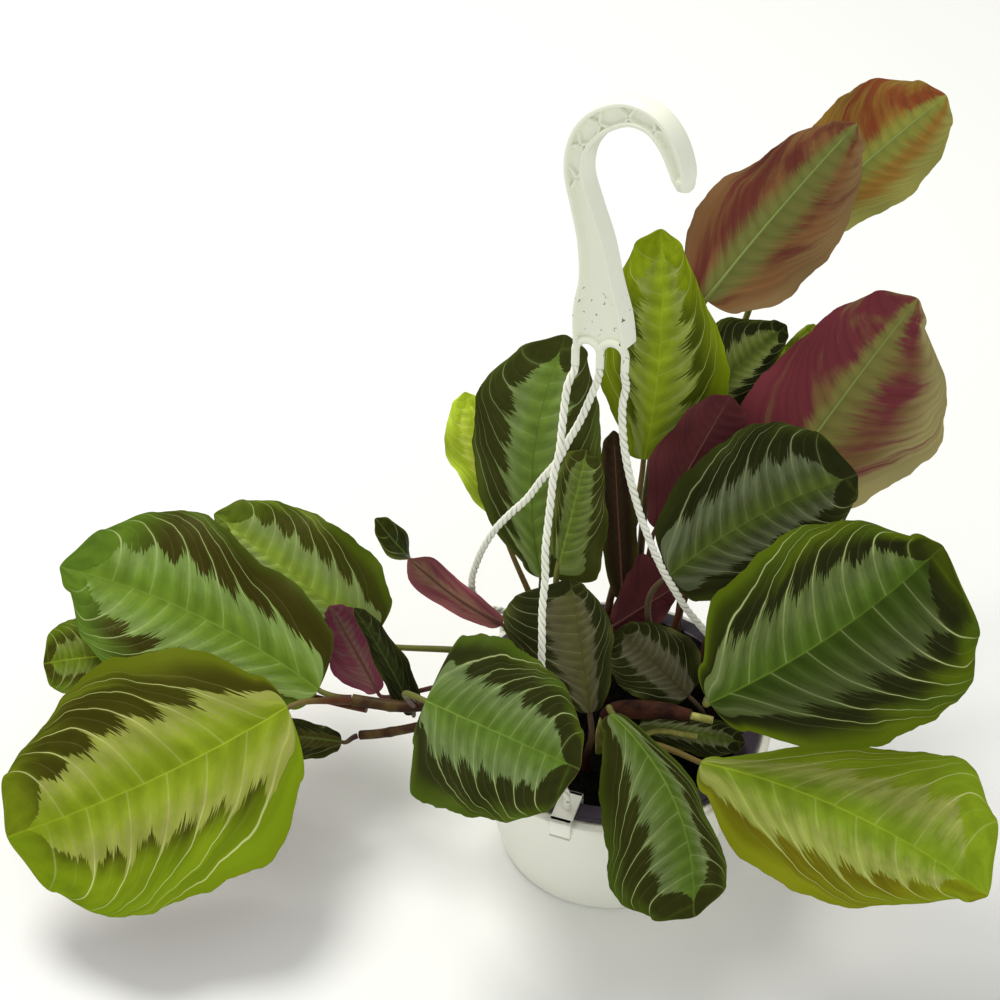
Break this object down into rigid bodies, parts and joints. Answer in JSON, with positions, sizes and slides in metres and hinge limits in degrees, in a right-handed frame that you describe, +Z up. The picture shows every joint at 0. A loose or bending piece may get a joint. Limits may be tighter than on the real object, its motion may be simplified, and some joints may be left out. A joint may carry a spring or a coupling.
{
  "type": "potted prayer plant maranta",
  "caption": "Maranta plant with broad patterned leaves, purple beneath, in a nursery pot set in a round hanging pot with a three-strand hanger and hook.",
  "frame": {"origin": "centre of the hanging pot's flat base", "axes": "+Z up out of the pot; +X to the right and -Y towards the camera of the picture, so the long leaves on the creeping stems reach out towards -X"},
  "size_m": [0.415, 0.2777, 0.3832],
  "materials": {
    "white_pot": "satin moulded",
    "black_pot": "satin moulded",
    "soil": "damp crumbly potting mix",
    "bright_leaf": "yellow-green leaf with olive patches",
    "green_leaf": "mid green leaf with dark patches",
    "dark_leaf": "dark green leaf with a pale feathered centre",
    "purple_underside": "maroon leaf underside",
    "orange_underside": "orange-brown leaf underside",
    "stem": "red-brown stem",
    "cut_stem": "pale cut stem",
    "dry_sheath": "dry brown sheath",
    "white_hanger": "off-white moulded plastic"
  },
  "bodies": {
    "root": {"hanging_pot": "white_pot", "nursery_pot": "black_pot", "soil": "soil", "leaf_left_front": "bright_leaf", "leaf_left_small": "bright_leaf", "leaf_centre_behind": "bright_leaf", "leaf_top_middle": "bright_leaf", "leaf_right_low": "bright_leaf", "leaf_right_sliver": "bright_leaf", "leaf_left_back": "green_leaf", "leaf_left_far": "green_leaf", "leaf_front_left": "green_leaf", "leaf_centre_low": "green_leaf", "leaf_right_big": "green_leaf", "leaf_front_low": "green_leaf", "leaf_back_tall": "green_leaf", "leaf_back_right": "green_leaf", "leaf_back_middle": "green_leaf", "leaf_left_low": "dark_leaf", "leaf_left_roll": "dark_leaf", "leaf_centre_front": "dark_leaf", "leaf_centre_tall": "dark_leaf", "leaf_top_small": "dark_leaf", "leaf_right_middle": "dark_leaf", "leaf_centre_grey": "dark_leaf", "leaf_low_dark": "dark_leaf", "leaf_left_purple": "purple_underside", "leaf_curly": "purple_underside", "leaf_top_right_front": "purple_underside", "leaf_right_upper": "purple_underside", "leaf_right_purple": "purple_underside", "leaf_centre_purple": "purple_underside", "leaf_centre_shadow": "purple_underside", "leaf_top_right_back": "orange_underside", "stem_left_upper": "stem", "stem_left_lower": "stem", "cut_stem_sheathed": "cut_stem", "cut_stem_bare": "cut_stem", "sheath": "dry_sheath", "hanger_hook": "white_hanger", "clip_a": "white_hanger", "clip_b": "white_hanger", "clip_c": "white_hanger", "strand_a": "white_hanger", "strand_b": "white_hanger", "strand_c": "white_hanger"}
  },
  "joints": []
}
